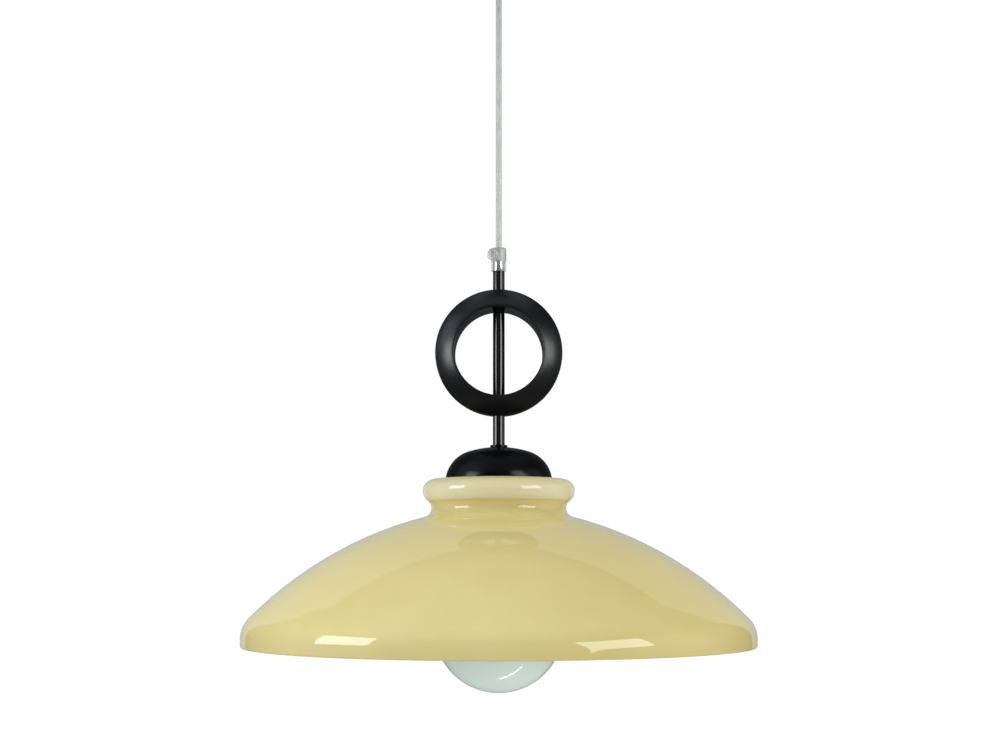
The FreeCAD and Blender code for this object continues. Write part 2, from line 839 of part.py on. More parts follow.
def make_spring():
    wall = 1.5
    pitch = 2.45
    strip = 0.6
    start = 5.4
    half_turns = 18
    outermost = start + pitch * (half_turns - 1) / 2 + strip + pitch / 2
    case = turned("spring_case", [
        (pin_radius + 0.5, 28.5),
        (case_radius - wall, 28.5),
        (case_radius - wall, 10),
        (case_radius, 10),
        (case_radius, 28.5),
        (case_radius - wall, 30),
        (pin_radius + 0.5, 30),
    ], "XY_Plane")
    # The strip's outer end is held at a lug on the case's wall.
    reach = case_radius - 0.5
    lug = padded(case, "lug", "XZ_Plane", [(outermost, -2), (reach, -2), (reach, 2), (outermost, 2)], 16)
    lug.Profile[0].AttachmentOffset = FreeCAD.Placement(FreeCAD.Vector(0, 0, -28.5), FreeCAD.Rotation())
    on_reel(case)
    # Its inner end wraps the sleeve that is fixed on the axle.
    on_reel(washer("spring_sleeve", pin_radius, start, 10.4, 28.1, "XY_Plane"))
    # Spiral strip of nine turns, as half circles about two centres in turn.
    inner_side = []
    outer_side = []
    for i in range(half_turns):
        radius = start + pitch * i / 2
        shift = 0 if i % 2 == 0 else pitch / 2
        side = 1 if i % 2 == 0 else -1
        for edges, reach in ((inner_side, radius), (outer_side, radius + strip)):
            a = FreeCAD.Vector(shift + side * reach, 0, 0)
            b = FreeCAD.Vector(shift, 0, side * reach)
            c = FreeCAD.Vector(shift - side * reach, 0, 0)
            edges.append(Part.Arc(a, b, c).toShape())
    first = Part.makeLine(inner_side[0].Vertexes[0].Point, outer_side[0].Vertexes[0].Point)
    last = Part.makeLine(inner_side[-1].Vertexes[-1].Point, outer_side[-1].Vertexes[-1].Point)
    wire = Part.Wire(Part.__sortEdges__(inner_side + [last] + outer_side + [first]))
    spring = doc.addObject("Part::Feature", "mainspring")
    spring.Label = "mainspring"
    spring.Shape = Part.Face(wire).extrude(FreeCAD.Vector(0, 16, 0))
    at(spring, -wind_radius, 11.3, -reel_depth)


def make_contacts():
    carrier = turned("slip_ring_carrier", [
        (8, -38),
        (21, -38),
        (21, -36),
        (8, -36),
    ], "XY_Plane")
    on_reel(carrier)
    # Three brass rings stand on the carrier's face.
    rings = []
    for i in range(3):
        radius = 10.5 + 3.5 * i
        ring = turned("slip_ring_" + str(i + 1), [
            (radius, -39),
            (radius + 2, -39),
            (radius + 2, -38),
            (radius, -38),
        ], "XY_Plane")
        on_reel(ring)
        rings.append(ring)
    pack = doc.addObject("Part::Compound", "slip_rings")
    pack.Label = "slip_rings"
    pack.Links = rings
    # Three brushes reach the rings from a block on the frame's front leg.
    block = new_body("brush_block")
    padded(block, "brush_pad", "XZ_Plane", [(-4, 9), (4, 9), (4, 21.5), (-4, 21.5)], 4)
    at(block, -wind_radius, -43, -reel_depth)
    pins = []
    for i in range(3):
        pin = doc.addObject("Part::Cylinder", "brush_" + str(i + 1))
        pin.Radius = 0.9
        pin.Height = 3.7
        pin.Placement.Rotation = FreeCAD.Rotation(FreeCAD.Vector(1, 0, 0), -90)
        at(pin, -wind_radius, -43, -reel_depth + (11.5 + 3.5 * i))
        pins.append(pin)
    brushes = doc.addObject("Part::Compound", "brushes")
    brushes.Label = "brushes"
    brushes.Links = pins


# ---------------------------------------------------------------- build

make_shade()
make_cap()
make_clamping()
make_stem()
make_ring()
make_grip()
make_cords()
make_holder()
make_bulb()
make_canopy()
make_bracket()
make_terminals()
make_reel_frame()
make_axle()
make_drum()
make_spring()
make_contacts()
doc.recompute()

pieces = """glass_shade cap_dome stem_collar upper_gasket lower_gasket clamp_disc lock_nut
stem_tube ring_handle cord_grip grip_screw cord_inner cord_drop cord_feed holder_cap
holder_shell holder_insert screw_shell centre_contact bulb_globe bulb_cap canopy_shell
outlet_bush canopy_screws ceiling_bracket terminal_block reel_frame reel_axle axle_clip
reel_drum cord_winding spring_case spring_sleeve mainspring slip_ring_carrier slip_rings brush_block
brushes""".split()

for thing in doc.Objects:
    if "Invalid" in thing.State or "Error" in thing.State:
        raise RuntimeError(thing.Label + " failed: " + str(thing.State))

for name in pieces:
    shape = doc.getObjectsByLabel(name)[0].Shape
    if shape.isNull() or not shape.isValid():
        raise RuntimeError(name + " has no valid shape")
    print(name, len(shape.Solids), round(shape.Volume, 1))

for name in pieces:
    doc.getObjectsByLabel(name)[0].Shape.exportStep("parts/" + name + ".step")
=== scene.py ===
import bpy
import bmesh
import json
import math
from mathutils import Matrix, Quaternion, Vector


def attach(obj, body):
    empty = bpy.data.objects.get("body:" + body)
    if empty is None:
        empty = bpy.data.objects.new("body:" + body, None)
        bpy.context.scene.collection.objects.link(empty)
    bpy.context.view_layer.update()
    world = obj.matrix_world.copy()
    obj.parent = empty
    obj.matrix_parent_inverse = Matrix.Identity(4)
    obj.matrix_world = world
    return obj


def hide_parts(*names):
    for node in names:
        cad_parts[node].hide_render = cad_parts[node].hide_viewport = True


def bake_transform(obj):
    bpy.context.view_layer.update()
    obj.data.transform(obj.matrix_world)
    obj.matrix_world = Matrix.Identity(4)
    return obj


# A rise and fall pendant: cream opal glass shade, black cap, ring handle and
# stem, clear cord grip and cord, and the spring reel in its canopy.

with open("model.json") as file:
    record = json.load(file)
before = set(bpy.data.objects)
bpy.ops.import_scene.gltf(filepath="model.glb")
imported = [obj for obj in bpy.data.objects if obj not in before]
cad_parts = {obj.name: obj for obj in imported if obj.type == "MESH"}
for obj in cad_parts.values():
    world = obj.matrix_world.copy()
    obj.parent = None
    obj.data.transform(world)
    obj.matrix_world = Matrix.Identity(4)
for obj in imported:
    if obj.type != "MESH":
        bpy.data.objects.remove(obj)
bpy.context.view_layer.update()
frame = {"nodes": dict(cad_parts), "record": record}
nodes = frame["nodes"]
scene = bpy.context.scene

MM = 0.001
RIM = -700          # the plane of the shade's rim, mm below the ceiling
GRIP_TOP = 337.5
OUTLET = -104       # throat of the cord outlet
STEM_BORE = 3.6     # radius of the hole down the stem
STEM_HOLE = 5.05    # radius of the holes that the stem goes through


# ------------------------------------------------------------ node sums

class Value:
    """A shader socket that takes part in sums."""

    def __init__(self, finish, socket):
        self.finish = finish
        self.socket = socket

    def _sum(self, operation, a, b):
        return self.finish.node("ShaderNodeMath", {"operation": operation}, {0: a, 1: b})

    def __add__(self, other):
        return self._sum("ADD", self, other)

    def __radd__(self, other):
        return self._sum("ADD", other, self)

    def __mul__(self, other):
        return self._sum("MULTIPLY", self, other)

    def __rmul__(self, other):
        return self._sum("MULTIPLY", other, self)

    def power(self, other):
        return self._sum("POWER", self, other)

    def sine(self):
        return self._sum("SINE", self, 0.0)


class Finish:
    """One material: a Principled shader and the nodes that vary it."""

    def __init__(self, name, **fixed):
        self.material = bpy.data.materials.new(name)
        self.material.use_nodes = True
        self.tree = self.material.node_tree
        self.skin = self.tree.nodes["Principled BSDF"]
        for socket, value in fixed.items():
            self.skin.inputs[socket.replace("_", " ")].default_value = value
        self.place = self.node("ShaderNodeTexCoord", {}, {}, "Object")

    def node(self, kind, settings, values, output=0):
        made = self.tree.nodes.new(kind)
        for name, value in settings.items():
            if name == "stops":
                self.set_stops(made.color_ramp, value)
            else:
                setattr(made, name, value)
        for name, value in values.items():
            self.feed(made.inputs[name], value)
        return Value(self, made.outputs[output])

    def feed(self, socket, value):
        if isinstance(value, Value):
            self.tree.links.new(value.socket, socket)
        else:
            socket.default_value = value

    @staticmethod
    def set_stops(ramp, stops):
        while len(ramp.elements) < len(stops):
            ramp.elements.new(0.5)
        for element, (at, colour) in zip(ramp.elements, stops):
            element.position = at
            element.color = colour

    def drive(self, **sockets):
        for name, value in sockets.items():
            self.feed(self.skin.inputs[name.replace("_", " ")], value)

    def cloud(self, scale, detail=3.0, stretch=(1, 1, 1)):
        """Soft noise, 0 to 1, in the object's own place."""
        spread = self.node("ShaderNodeMapping", {}, {"Vector": self.place, "Scale": stretch})
        return self.node("ShaderNodeTexNoise", {},
                         {"Vector": spread, "Scale": scale, "Detail": detail})

    def part(self, axis):
        """One coordinate of the place, in metres."""
        return self.node("ShaderNodeSeparateXYZ", {}, {0: self.place}, axis)

    def ramp(self, value, stops):
        return self.node("ShaderNodeValToRGB", {"stops": stops}, {0: value})

    def span(self, value, low, high, first=0.0, last=1.0):
        """The value moved from low..high to first..last, and kept in it."""
        return self.node("ShaderNodeMapRange", {}, {0: value, 1: low, 2: high, 3: first, 4: last})

    def blend(self, mask, first, second):
        return self.node("ShaderNodeMix", {"data_type": "RGBA"}, {0: mask, 6: first, 7: second}, 2)

    def bumps(self, height, depth, strength):
        return self.node("ShaderNodeBump", {},
                         {"Height": height, "Distance": depth, "Strength": strength})


def paint(red, green, blue, alpha=1.0):
    """A colour as the eye names it, 0 to 255, turned into light."""
    def light(v):
        v = v / 255
        return v / 12.92 if v <= 0.04045 else ((v + 0.055) / 1.055) ** 2.4
    return (light(red), light(green), light(blue), alpha)


# ------------------------------------------------------------- finishes

def cream_opal():
    """Cased opal glass: cream through its depth and paler on the lip, with painted shade at the lip's
    crest and on the +X side, and painted light on the neck under the lip.
    """
    f = Finish("cream opal glass", IOR=1.5, Subsurface_Weight=0.12, Subsurface_Scale=0.003)
    f.skin.inputs["Subsurface Radius"].default_value = (1.0, 0.75, 0.35)
    # The colours by height run from the rim's edge to the top of the lip.
    height = f.span(f.part("Z"), RIM * MM, (RIM + 140) * MM)
    body = f.ramp(height, [
        (0.0, paint(211, 196, 133)),
        (0.09, paint(217, 203, 139)),
        (0.16, paint(227, 212, 146)),
        (0.45, paint(226, 208, 141)),
        (0.72, paint(217, 199, 131)),
        # These two stops lift the neck just under the lip: painted light against the lip's shadow.
        (0.80, paint(218, 202, 136)),
        (0.860, paint(223, 209, 150)),
        (0.866, paint(239, 235, 206)),
        (0.90, paint(237, 231, 196)),
        (0.93, paint(229, 222, 180)),
        # The last stops darken the lip's crest: painted shade from the black cap above it.
        (0.965, paint(214, 206, 162)),
        (0.988, paint(196, 187, 142)),
        (1.0, paint(176, 164, 116)),
    ])
    drift = f.cloud(9, 2)
    milk = f.cloud(38, 4)
    colour = f.blend(f.span(drift, 0.3, 0.7, 0.0, 0.16), body, paint(236, 222, 160))
    # Painted shade: the +X side of the dome, below the neck, turns darker and deeper in colour.
    painted_side_shade = f.span(f.part("X") + 0.1 * drift, 0.05, 0.13, 0.0, 0.3)
    colour = f.blend(painted_side_shade * f.span(height, 0.8, 0.86, 1.0, 0.0), colour, paint(208, 186, 108))
    colour = f.blend(f.span(milk, 0.35, 0.75, 0.0, 0.08), colour, paint(196, 172, 104))
    waves = f.cloud(14, 1, (1, 1, 2.2))
    f.drive(Base_Color=colour, Roughness=0.035 + 0.03 * milk, Normal=f.bumps(waves, 0.0006, 0.35))
    return f.material


def black_coat(name, ior, rough):
    """Powder coat: fine even grain, from satin on the ring to smoother on the cap."""
    f = Finish(name, IOR=ior)
    grain = f.cloud(1900, 2)
    drift = f.cloud(26, 3)
    colour = f.blend(f.span(drift, 0.3, 0.7), paint(5, 5, 6), paint(9, 9, 10))
    f.drive(Base_Color=colour, Roughness=rough + 0.06 * drift, Normal=f.bumps(grain, 0.00004, 0.4))
    return f.material


def gloss_black():
    """Stoved black on the stem: smoother than the coat on the cap and the ring."""
    f = Finish("gloss black enamel", IOR=1.5)
    drift = f.cloud(40, 3, (1, 1, 0.3))
    f.drive(Base_Color=f.blend(drift, paint(9, 9, 10), paint(13, 13, 14)),
            Roughness=0.13 + 0.05 * drift, Coat_Weight=0.03 * drift)
    return f.material


def opal_bulb():
    """White opal envelope, faintly green."""
    f = Finish("opal bulb glass", IOR=1.5, Subsurface_Weight=0.15, Subsurface_Scale=0.004)
    drift = f.cloud(12, 2)
    height = f.span(f.part("Z"), (RIM - 40) * MM, (RIM + 70) * MM)
    body = f.ramp(height, [
        (0.0, paint(228, 241, 233)),
        (0.4, paint(217, 233, 217)),
        (1.0, paint(228, 235, 225)),
    ])
    colour = f.blend(f.span(drift, 0.3, 0.7, 0.0, 0.35), body, paint(224, 240, 238))
    f.drive(Base_Color=colour, Roughness=0.05 + 0.04 * drift, Normal=f.bumps(drift, 0.0004, 0.2))
    return f.material


def clear_plastic():
    """Moulded clear plastic: see-through in the sleeve, thick and greyer in the head."""
    f = Finish("clear plastic", IOR=1.46)
    haze = f.cloud(420, 3)
    flow = f.cloud(200, 2, (1, 1, 0.4))
    head = f.span(f.part("Z"), (RIM + 325) * MM, (RIM + 327.5) * MM)
    edge = f.node("ShaderNodeLayerWeight", {}, {"Blend": 0.4}, 1)
    colour = f.blend(f.span(flow, 0.35, 0.65), paint(170, 171, 166), paint(226, 227, 221))
    f.drive(Base_Color=colour,
            Alpha=0.12 + 0.3 * head + 0.2 * head * haze + 0.6 * edge.power(1.4),
            Roughness=0.06 + 0.1 * haze, Normal=f.bumps(flow, 0.0004, 0.4))
    return f.material


def clear_sheath():
    """The cord's clear sheath: see-through in the middle, grey along its edges as painted shade."""
    f = Finish("clear cord sheath", IOR=1.5)
    haze = f.cloud(300, 2, (1, 1, 0.2))
    edge = f.node("ShaderNodeLayerWeight", {}, {"Blend": 0.5}, 1)
    middle = f.blend(haze, paint(222, 224, 218), paint(234, 235, 230))
    # Painted shade: the colour turns grey where the surface turns away from view.
    colour = f.blend(edge.power(1.6), middle, paint(140, 142, 138))
    f.drive(Base_Color=colour, Alpha=0.42 + 0.45 * edge, Roughness=0.08 + 0.08 * haze)
    return f.material


def tinned_core():
    """Tinned strands under their own clear skin, wound in a fine lay."""
    f = Finish("tinned cores", IOR=1.5)
    lay = (f.part("Z") * 5200 + f.cloud(300, 2) * 3).sine()
    grain = f.span(lay, -1, 1)
    colour = f.blend(grain, paint(206, 207, 202), paint(228, 229, 224))
    f.drive(Base_Color=colour, Roughness=0.3 + 0.15 * grain, Metallic=0.1 + 0.15 * grain,
            Normal=f.bumps(grain, 0.00006, 0.4))
    return f.material


def plated_steel(name, low, high, rough):
    f = Finish(name, Metallic=1.0)
    flow = f.cloud(60, 4, (1, 1, 6))
    spangle = f.cloud(240, 2)
    f.drive(Base_Color=f.blend(flow, low, high), Roughness=rough + 0.12 * spangle,
            Normal=f.bumps(flow, 0.0001, 0.4))
    return f.material


def moulded(name, low, high, rough):
    f = Finish(name, IOR=1.47)
    drift = f.cloud(70, 3)
    grain = f.cloud(1400, 2)
    f.drive(Base_Color=f.blend(drift, low, high), Roughness=rough + 0.12 * grain,
            Normal=f.bumps(grain, 0.00004, 0.4))
    return f.material


finishes = {
    "opal_glass": cream_opal(),
    "black_paint": black_coat("smooth black coat", 1.25, 0.17),
    "bulb_glass": opal_bulb(),
    "clear_plastic": clear_plastic(),
    "cord": tinned_core(),
    "zinc_steel": plated_steel("zinc plated steel", paint(168, 170, 172), paint(204, 206, 206), 0.26),
    "spring_steel": plated_steel("blued spring steel", paint(70, 78, 92), paint(96, 104, 118), 0.2),
    "brass": plated_steel("plain brass", paint(190, 158, 92), paint(218, 190, 122), 0.24),
    "bulb_metal": plated_steel("bulb cap metal", paint(196, 196, 198), paint(222, 222, 222), 0.22),
    "white_paint": moulded("white coat", paint(220, 219, 212), paint(232, 231, 226), 0.35),
    "white_plastic": moulded("white plastic", paint(222, 221, 214), paint(236, 235, 230), 0.36),
    "black_plastic": moulded("black plastic", paint(22, 22, 23), paint(30, 30, 31), 0.38),
    "grey_plastic": moulded("grey plastic", paint(96, 98, 101), paint(112, 114, 117), 0.42),
    "porcelain": moulded("porcelain", paint(228, 225, 216), paint(240, 238, 232), 0.3),
    "rubber": moulded("black rubber", paint(20, 20, 20), paint(30, 29, 29), 0.62),
}
sheath = clear_sheath()
gloss = gloss_black()
polished = plated_steel("polished steel", paint(196, 198, 200), paint(226, 227, 228), 0.1)
satin = black_coat("satin black coat", 1.2, 0.28)

for entry in frame["record"]["subparts"]:
    part = nodes[entry["node"]]
    if not part.material_slots:
        part.data.materials.append(None)
    for slot in part.material_slots:
        slot.material = finishes[entry["material_slot"]]


# ---------------------------------------------------------- lathe work

def follow(corners, fine=5.0):
    """Points along a profile in mm. A corner is (r, z), or (r, z, radius, turn)
    where an arc reaches it, with turn 1 anticlockwise and -1 clockwise."""
    line = []
    for i, corner in enumerate(corners):
        end = Vector(corner[:2])
        if len(corner) > 2:
            start = Vector(corners[i - 1][:2])
            radius, turn = corner[2:]
            chord = end - start
            side = Vector((-chord.y, chord.x)).normalized()
            rise = math.sqrt(max(radius ** 2 - (chord.length / 2) ** 2, 0))
            centre = (start + end) / 2 + side * rise * turn
            a = math.atan2(start.y - centre.y, start.x - centre.x)
            sweep = 2 * math.asin(min(1, chord.length / 2 / radius))
            steps = max(3, math.ceil(math.degrees(sweep) / fine))
            for k in range(1, steps):
                b = a + turn * sweep * k / steps
                line.append(centre + radius * Vector((math.cos(b), math.sin(b))))
        line.append(end)
    return line


def upright(r, z, a, low=RIM):
    """The place at radius r and angle a, z above the height low."""
    return (r * math.cos(a) * MM, r * math.sin(a) * MM, (z + low) * MM)


def rings(mesh, line, sides, closed, lay):
    """Adds the surface swept by a profile; lay puts (r, height, angle) in space."""
    rows = []
    for point in line:
        if point.x < 1e-6:
            rows.append([mesh.verts.new(lay(0, point.y, 0))] * sides)
        else:
            rows.append([mesh.verts.new(lay(point.x, point.y, 2 * math.pi * k / sides))
                         for k in range(sides)])
    pairs = list(zip(rows, rows[1:])) + ([(rows[-1], rows[0])] if closed else [])
    for low, high in pairs:
        for k in range(sides):
            n = (k + 1) % sides
            corners = []
            for v in (low[k], low[n], high[n], high[k]):
                if v not in corners:
                    corners.append(v)
            if len(corners) > 2:
                mesh.faces.new(corners)


def finish_piece(name, mesh, finish, body, stands_for, crease=35):
    """Makes the object, puts it in its body if it has one, and hides the solids it stands for."""
    bmesh.ops.remove_doubles(mesh, verts=mesh.verts, dist=1e-7)
    bmesh.ops.recalc_face_normals(mesh, faces=mesh.faces)
    data = bpy.data.meshes.new(name)
    mesh.to_mesh(data)
    mesh.free()
    data.shade_smooth()
    data.set_sharp_from_angle(angle=math.radians(crease))
    data.materials.append(finish)
    piece = bpy.data.objects.new(name, data)
    scene.collection.objects.link(piece)
    if body:
        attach(piece, body)
    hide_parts(*stands_for)
    return piece


def turned(name, corners, slot, body, stands_for, low=RIM, sides=128, closed=True, fine=5.0,
           crease=35, finish=None):
    """A piece turned about the lamp's axis, its profile measured from a height."""
    mesh = bmesh.new()

    def lay(r, z, a):
        return upright(r, z, a, low)

    rings(mesh, follow(corners, fine), sides, closed, lay)
    return finish_piece(name, mesh, finish or finishes[slot], body, stands_for, crease)


def turned_about_y(name, corners, slot, body, stands_for, centre, sides=128, closed=True, swing=0.0,
                   finish=None):
    """A piece turned about a level axis through centre, swung about the vertical."""
    mesh = bmesh.new()
    spin = Matrix.Rotation(swing, 3, "Z")
    middle = Vector(centre)

    def lay(r, y, a):
        return (middle + spin @ Vector((r * math.cos(a), y, r * math.sin(a)))) * MM

    rings(mesh, follow(corners), sides, closed, lay)
    return finish_piece(name, mesh, finish or finishes[slot], body, stands_for)


# ---------------------------------------------------------- the lamp

def glass_shade():
    dome, past, below = 313.5, 16.5, 195.75
    rim, glass, shoulder, edge = 214.1, 4.2, 22.5, 1.5
    neck, hollow, fillet = 56.9, 7.5, 3
    lip, side, bead, inner = 64.2, 129.5, 9.6, 5.0
    hole, seat_low, seat_top = 22, 129.4, 133.6
    bend_x = rim - shoulder
    bend_z = math.sqrt((dome - shoulder) ** 2 - (bend_x + past) ** 2) - below
    neck_x = neck + hollow
    neck_z = math.sqrt((dome + hollow) ** 2 - (neck_x + past) ** 2) - below
    across, up = neck_x - lip, side - neck_z
    under = (up ** 2 + across ** 2 - hollow ** 2) / (hollow - across) / 2
    share = hollow / (hollow + under)

    def on_dome(x, z, arc, reach):
        return (x + past) * arc / reach - past, (z + below) * arc / reach - below

    wall = neck - glass
    return turned("glass_shade_blown", [
        (rim, edge, edge, 1),
        (rim, bend_z),
        (*on_dome(bend_x, bend_z, dome, dome - shoulder), shoulder, 1),
        (*on_dome(neck_x, neck_z, dome, dome + hollow), dome, 1),
        (neck_x - (across + under) * share, neck_z + up * share, hollow, -1),
        (lip, side, under, 1),
        (lip - bead, side + bead, bead, 1),
        (lip - bead - inner, side + bead - inner, inner, 1),
        (lip - bead - inner, seat_top),
        (hole, seat_top),
        (hole, seat_low),
        (wall - fillet, seat_low),
        (wall, seat_low - fillet, fillet, -1),
        (wall, neck_z),
        (*on_dome(neck_x, neck_z, dome - glass, dome + hollow), hollow + glass, 1),
        (*on_dome(bend_x, bend_z, dome - glass, dome - shoulder), dome - glass, -1),
        (rim - glass, bend_z, shoulder - glass, -1),
        (rim - glass, edge),
        (rim - glass + edge, 0, edge, 1),
        (rim - edge, 0),
    ], "opal_glass", "lamp", ["glass_shade"], sides=192, fine=2.4, crease=50)


def dome_cap():
    """The spun cap, flat where the collar sits, and the collar."""
    top, crown, corner, radius = 166.6, 88.0, 27.5, 45.25
    wall, land, foot = 1.5, 8, 135.1
    inside = radius - wall
    centre = top - crown
    x = radius - corner
    rise = math.sqrt((crown - corner) ** 2 - x ** 2)

    def meet(arc):
        return x * arc / (crown - corner), centre + rise * arc / (crown - corner)

    def flat(arc):
        return centre + math.sqrt(arc ** 2 - land ** 2)

    cap = turned("cap_dome_spun", [
        (radius, foot),
        (radius, centre + rise),
        (*meet(crown), corner, 1),
        (land, flat(crown), crown, 1),
        (STEM_HOLE, flat(crown)),
        (STEM_HOLE, flat(crown - wall)),
        (land, flat(crown - wall)),
        (*meet(crown - wall), crown - wall, -1),
        (inside, centre + rise, corner - wall, -1),
        (inside, foot),
    ], "black_paint", "lamp", ["cap_dome"], fine=3)
    collar, bevel, low, high = 7.3, 0.4, flat(crown), 168.3
    turned("stem_collar_turned", [
        (STEM_HOLE, low), (collar - bevel, low), (collar, low + bevel),
        (collar, high - bevel), (collar - bevel, high), (STEM_HOLE, high),
    ], "black_paint", "lamp", ["stem_collar"], sides=64)
    return cap


def stem_and_end():
    """The black tube, and its bright bare end in the clear grip."""
    foot, join, top = 112, 317.4, 326
    turned("stem_end_bright", [
        (STEM_BORE, join), (4.85, join), (4.95, join + 0.2),
        (4.95, top - 0.4), (4.6, top), (STEM_BORE, top),
    ], "zinc_steel", "lamp", ["stem_tube"], sides=64, finish=polished)
    return turned("stem_tube_drawn", [
        (STEM_BORE, foot), (4.6, foot), (5, foot + 0.4),
        (5, join - 0.4), (4.7, join), (STEM_BORE, join),
    ], "black_paint", "lamp", ["stem_tube"], sides=64, finish=gloss)


def ring_handle():
    """Domed on both faces: deep half-depth at the hole, thin at the outside."""
    inner, outer, deep, thin, face, ease = 37.5, 54.1, 17.7, 6, 38, 0.7
    middle = 246.9
    return turned_about_y("ring_handle_turned", [
        (inner, -(deep - ease)),
        (inner + ease, -deep, ease, 1),
        (outer - ease, -thin, face, 1),
        (outer, -(thin - ease), ease, 1),
        (outer, thin - ease),
        (outer - ease, thin, ease, 1),
        (inner + ease, deep, face, 1),
        (inner, deep - ease, ease, 1),
    ], "black_paint", "lamp", ["ring_handle"], (0, 0, middle + RIM), sides=192, finish=satin)


def cord_grip():
    """The sleeve over the stem's end and the cord, and its screw at the front left."""
    foot, shelf, radius, bore = 317.7, 326, 6.4, 2.6
    turned("cord_grip_moulded", [
        (STEM_HOLE, foot), (radius - 0.2, foot), (radius, foot + 0.2),
        (radius, GRIP_TOP - 1), (radius - 1, GRIP_TOP, 1, 1), (bore, GRIP_TOP),
        (bore, shelf), (STEM_HOLE, shelf),
    ], "clear_plastic", "lamp", ["cord_grip"], sides=64)
    # The head has a ring sunk in its face; the shank stops short of the cord.
    face, sunk, back, tip, screw_height = -9.0, -8.5, -6.1, -2.6, 331.3
    turned_about_y("grip_screw_moulded", [
        (0, face), (1.6, face), (1.9, sunk), (3.4, sunk), (3.7, face), (4.6, face),
        (5.2, face + 0.6, 0.6, 1), (5.2, back - 0.5), (4.9, back), (3, back), (3, tip), (0, tip),
    ], "clear_plastic", "lamp", ["grip_screw"], (0, 0, screw_height + RIM), sides=48, closed=False,
        swing=math.radians(-45))


def globe_bulb():
    ball, low, neck, bend, wall = 55.0, 15.8, 13.6, 5.0, 1.0
    foot, socket, top = 73.2, 12.1, 80
    x = neck + bend
    rise = math.sqrt((ball + bend) ** 2 - x ** 2)
    share = ball / (ball + bend)
    globe = turned("bulb_globe_blown", [
        (0, low - ball),
        (ball, low, ball, 1),
        (x * share, low + rise * share, ball, 1),
        (neck, low + rise, bend, -1),
        (neck, foot),
        (socket, foot),
        (socket, top),
        (socket - wall, top),
        (socket - wall, low + rise),
    ], "bulb_glass", "lamp", ["bulb_globe"], closed=False, fine=3)
    rolled_cap()
    return globe


def rolled_cap():
    """The bulb's screw cap, its thread a round ridge that climbs as it goes round."""
    root, ridge, pitch, run_out = 12.7, 0.5, 3.6, 1.5
    low, high = 75, 93
    sides, rows = 48, 28

    def threaded(r, z, a):
        wave = 0.5 + 0.5 * math.cos(2 * math.pi * (z / pitch) - a)
        return upright(r + ridge * wave * min(1, (z - low) / run_out, (high - z) / run_out), z, a)

    mesh = bmesh.new()
    thread = [(root, low + (high - low) * j / rows) for j in range(rows + 1)]
    rings(mesh, follow(thread), sides, False, threaded)
    tip = [(root, high), (12.6, 94), (7, 97.5), (5, 97.5), (5, 98.5), (4.6, 98.9), (0, 98.9)]
    rings(mesh, follow(tip), sides, False, upright)
    skirt = [(root, low), (12.8, 73.2), (12.2, 73.2), (12.2, high)]
    rings(mesh, follow(skirt), sides, False, upright)
    finish_piece("bulb_cap_rolled", mesh, finishes["bulb_metal"], "lamp", ["bulb_cap"])


def lampholder():
    """Ribbed shell and domed cap, seen from below beside the bulb."""
    mesh = bmesh.new()
    sides, ribs, depth = 192, 24, 0.35

    def lay(r, z, a):
        rib = depth * max(0, math.cos(ribs * a)) if 73 < z < 81 and r > 18.4 else 0
        return upright(r - rib, z, a)

    rings(mesh, follow([
        (15.2, 70), (18.5, 70), (19.5, 71, 1, 1), (19.5, 73.5), (19.5, 76), (19.5, 80.5), (19.5, 82),
        (20.5, 84), (20.5, 98), (17.5, 98), (17.5, 72), (15.2, 72),
    ]), sides, True, lay)
    finish_piece("holder_shell_moulded", mesh, finishes["white_plastic"], "lamp",
                 ["holder_shell"])
    turned("holder_cap_moulded", [
        (20.5, 98), (20.5, 104), (9, 117, 17, 1), (9, 121.5), (STEM_HOLE, 121.5), (STEM_HOLE, 112),
        (9, 114.5), (15.5, 110), (18.5, 103), (18.5, 98),
    ], "white_plastic", "lamp", ["holder_cap"])


# ------------------------------------------------------------- the cord

MIDWAY = (OUTLET + GRIP_TOP + RIM) / 2
CORD_ROUTE = [(0, 0, OUTLET * MM), (0, 0, MIDWAY * MM), (0, 0, (GRIP_TOP + RIM) * MM)]


def cord_line():
    """The cord's line, read from a smooth spline through its route."""
    curve = bpy.data.curves.new("cord_line", "CURVE")
    curve.dimensions = "3D"
    curve.resolution_u = 120
    spline = curve.splines.new("NURBS")
    spline.points.add(len(CORD_ROUTE) - 1)
    for point, place in zip(spline.points, CORD_ROUTE):
        point.co = (*place, 1)
    spline.order_u = 3
    spline.use_endpoint_u = True
    guide = bpy.data.objects.new("cord_line", curve)
    read = bpy.data.meshes.new_from_object(guide)
    line = [v.co.copy() for v in read.vertices]
    bpy.data.objects.remove(guide)
    bpy.data.meshes.remove(read)
    bpy.data.curves.remove(curve)
    return line


def hanging_cord():
    """Clear sheath over two cores that wind round each other, pulled tight."""
    sheath_radius, core_radius, wind_radius, wind_length = 2.5 * MM, 1.05 * MM, 1.08 * MM, 0.042
    line = cord_line()
    mesh = bmesh.new()

    def tube(offset, radius, sides):
        angles = [2 * math.pi * k / sides for k in range(sides)]
        rows = []
        for place in line:
            x, y = offset(place.z)
            rows.append([mesh.verts.new((place.x + x + radius * math.cos(a),
                                         place.y + y + radius * math.sin(a), place.z))
                         for a in angles])
        made = []
        for high, low in zip(rows, rows[1:]):
            for k in range(sides):
                n = (k + 1) % sides
                made.append(mesh.faces.new((low[k], low[n], high[n], high[k])))
        made.append(mesh.faces.new(rows[0]))
        made.append(mesh.faces.new(rows[-1][::-1]))
        return made

    tube(lambda z: (0.0, 0.0), sheath_radius, 24)
    for side in (0, math.pi):
        def wound(z, side=side):
            a = side + 2 * math.pi * z / wind_length
            return wind_radius * math.cos(a), wind_radius * math.sin(a)
        for face in tube(wound, core_radius, 12):
            face.material_index = 1
    cord = finish_piece("cord_drop_hung", mesh, sheath, None, ["cord_drop"])
    cord.data.materials.append(finishes["cord"])
    return cord


def tie_cord(cord):
    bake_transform(cord)


# ----------------------------------------------------------- the canopy

